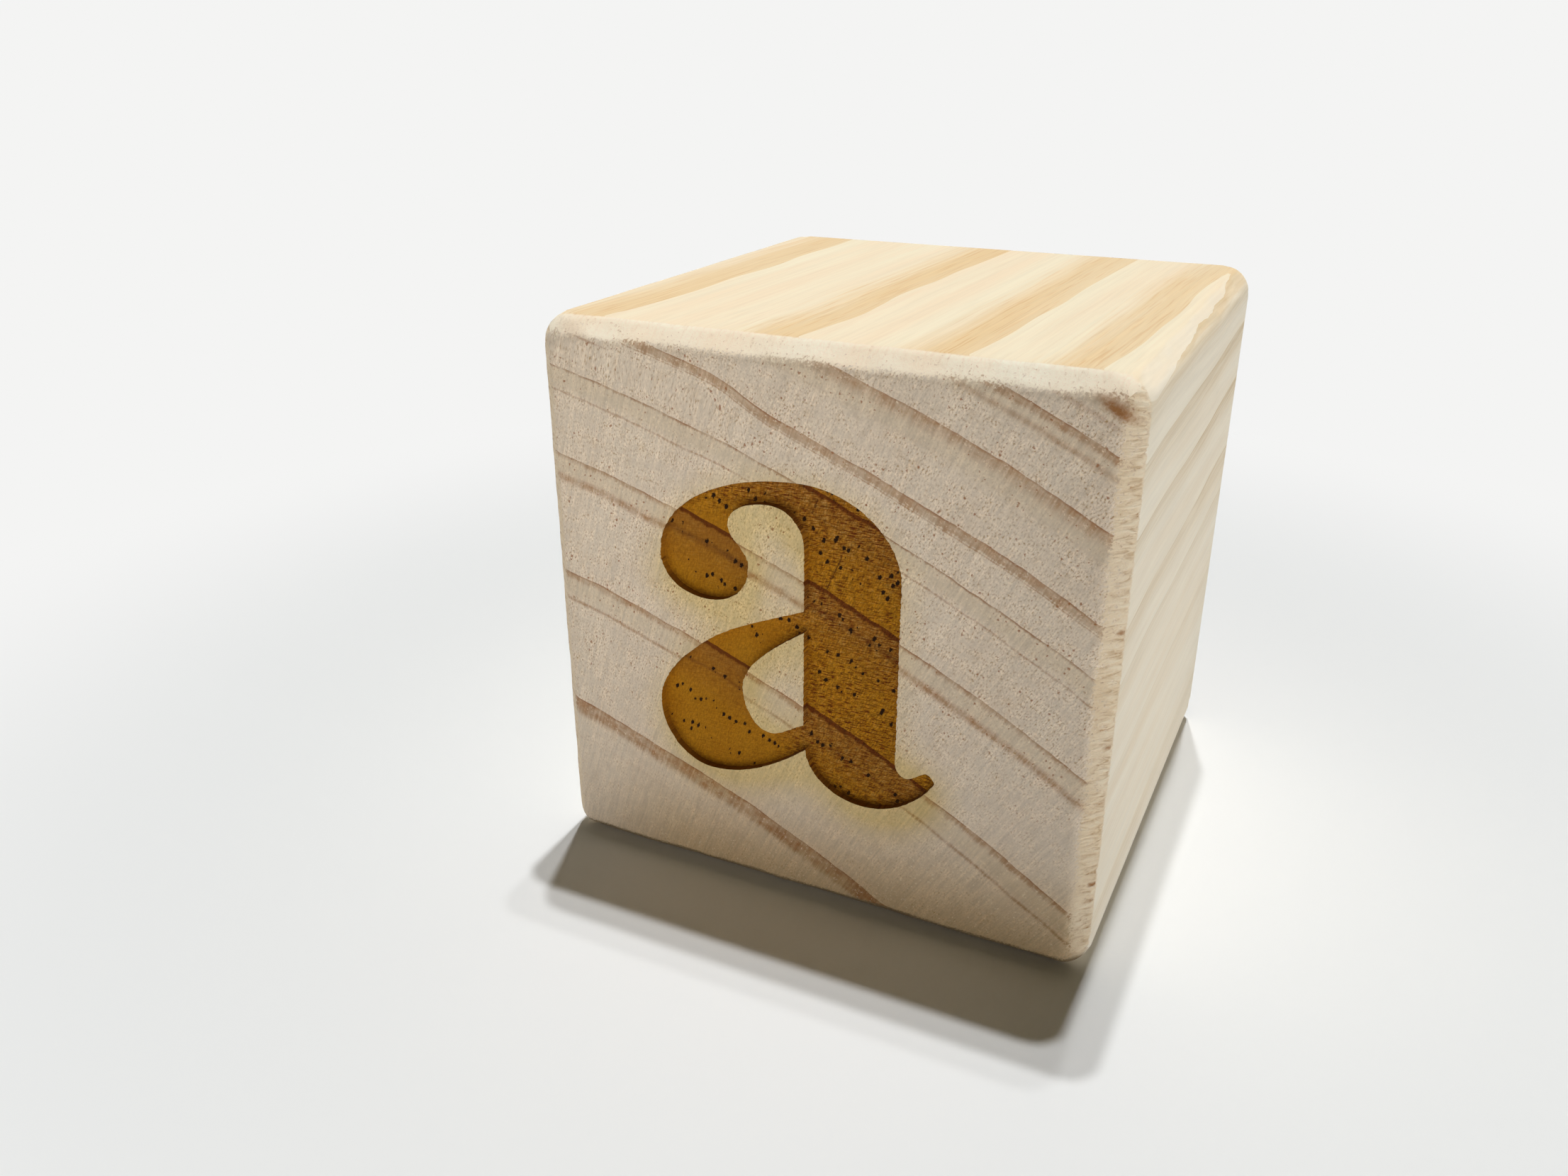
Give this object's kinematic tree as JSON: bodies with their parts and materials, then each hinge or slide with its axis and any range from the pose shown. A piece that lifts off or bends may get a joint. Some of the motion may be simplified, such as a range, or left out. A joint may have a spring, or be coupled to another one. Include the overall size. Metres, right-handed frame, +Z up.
{
  "type": "wooden alphabet block",
  "caption": "Pale pine toy cube with bevelled edges and nipped corners, and a lowercase letter a burnt as a shallow recess into the end grain of its front face.",
  "frame": {"origin": "middle of the bottom face, on the surface that the block stands on", "axes": "+Z up, the letter's face looks along -Y, +X to the right of a reader who faces the letter, wood grain along Y"},
  "size_m": [0.05, 0.05, 0.05],
  "materials": {
    "pine": "bare softwood, planed and lightly sanded, letter floor scorched brown"
  },
  "bodies": {
    "root": {"block": "pine"}
  },
  "joints": []
}
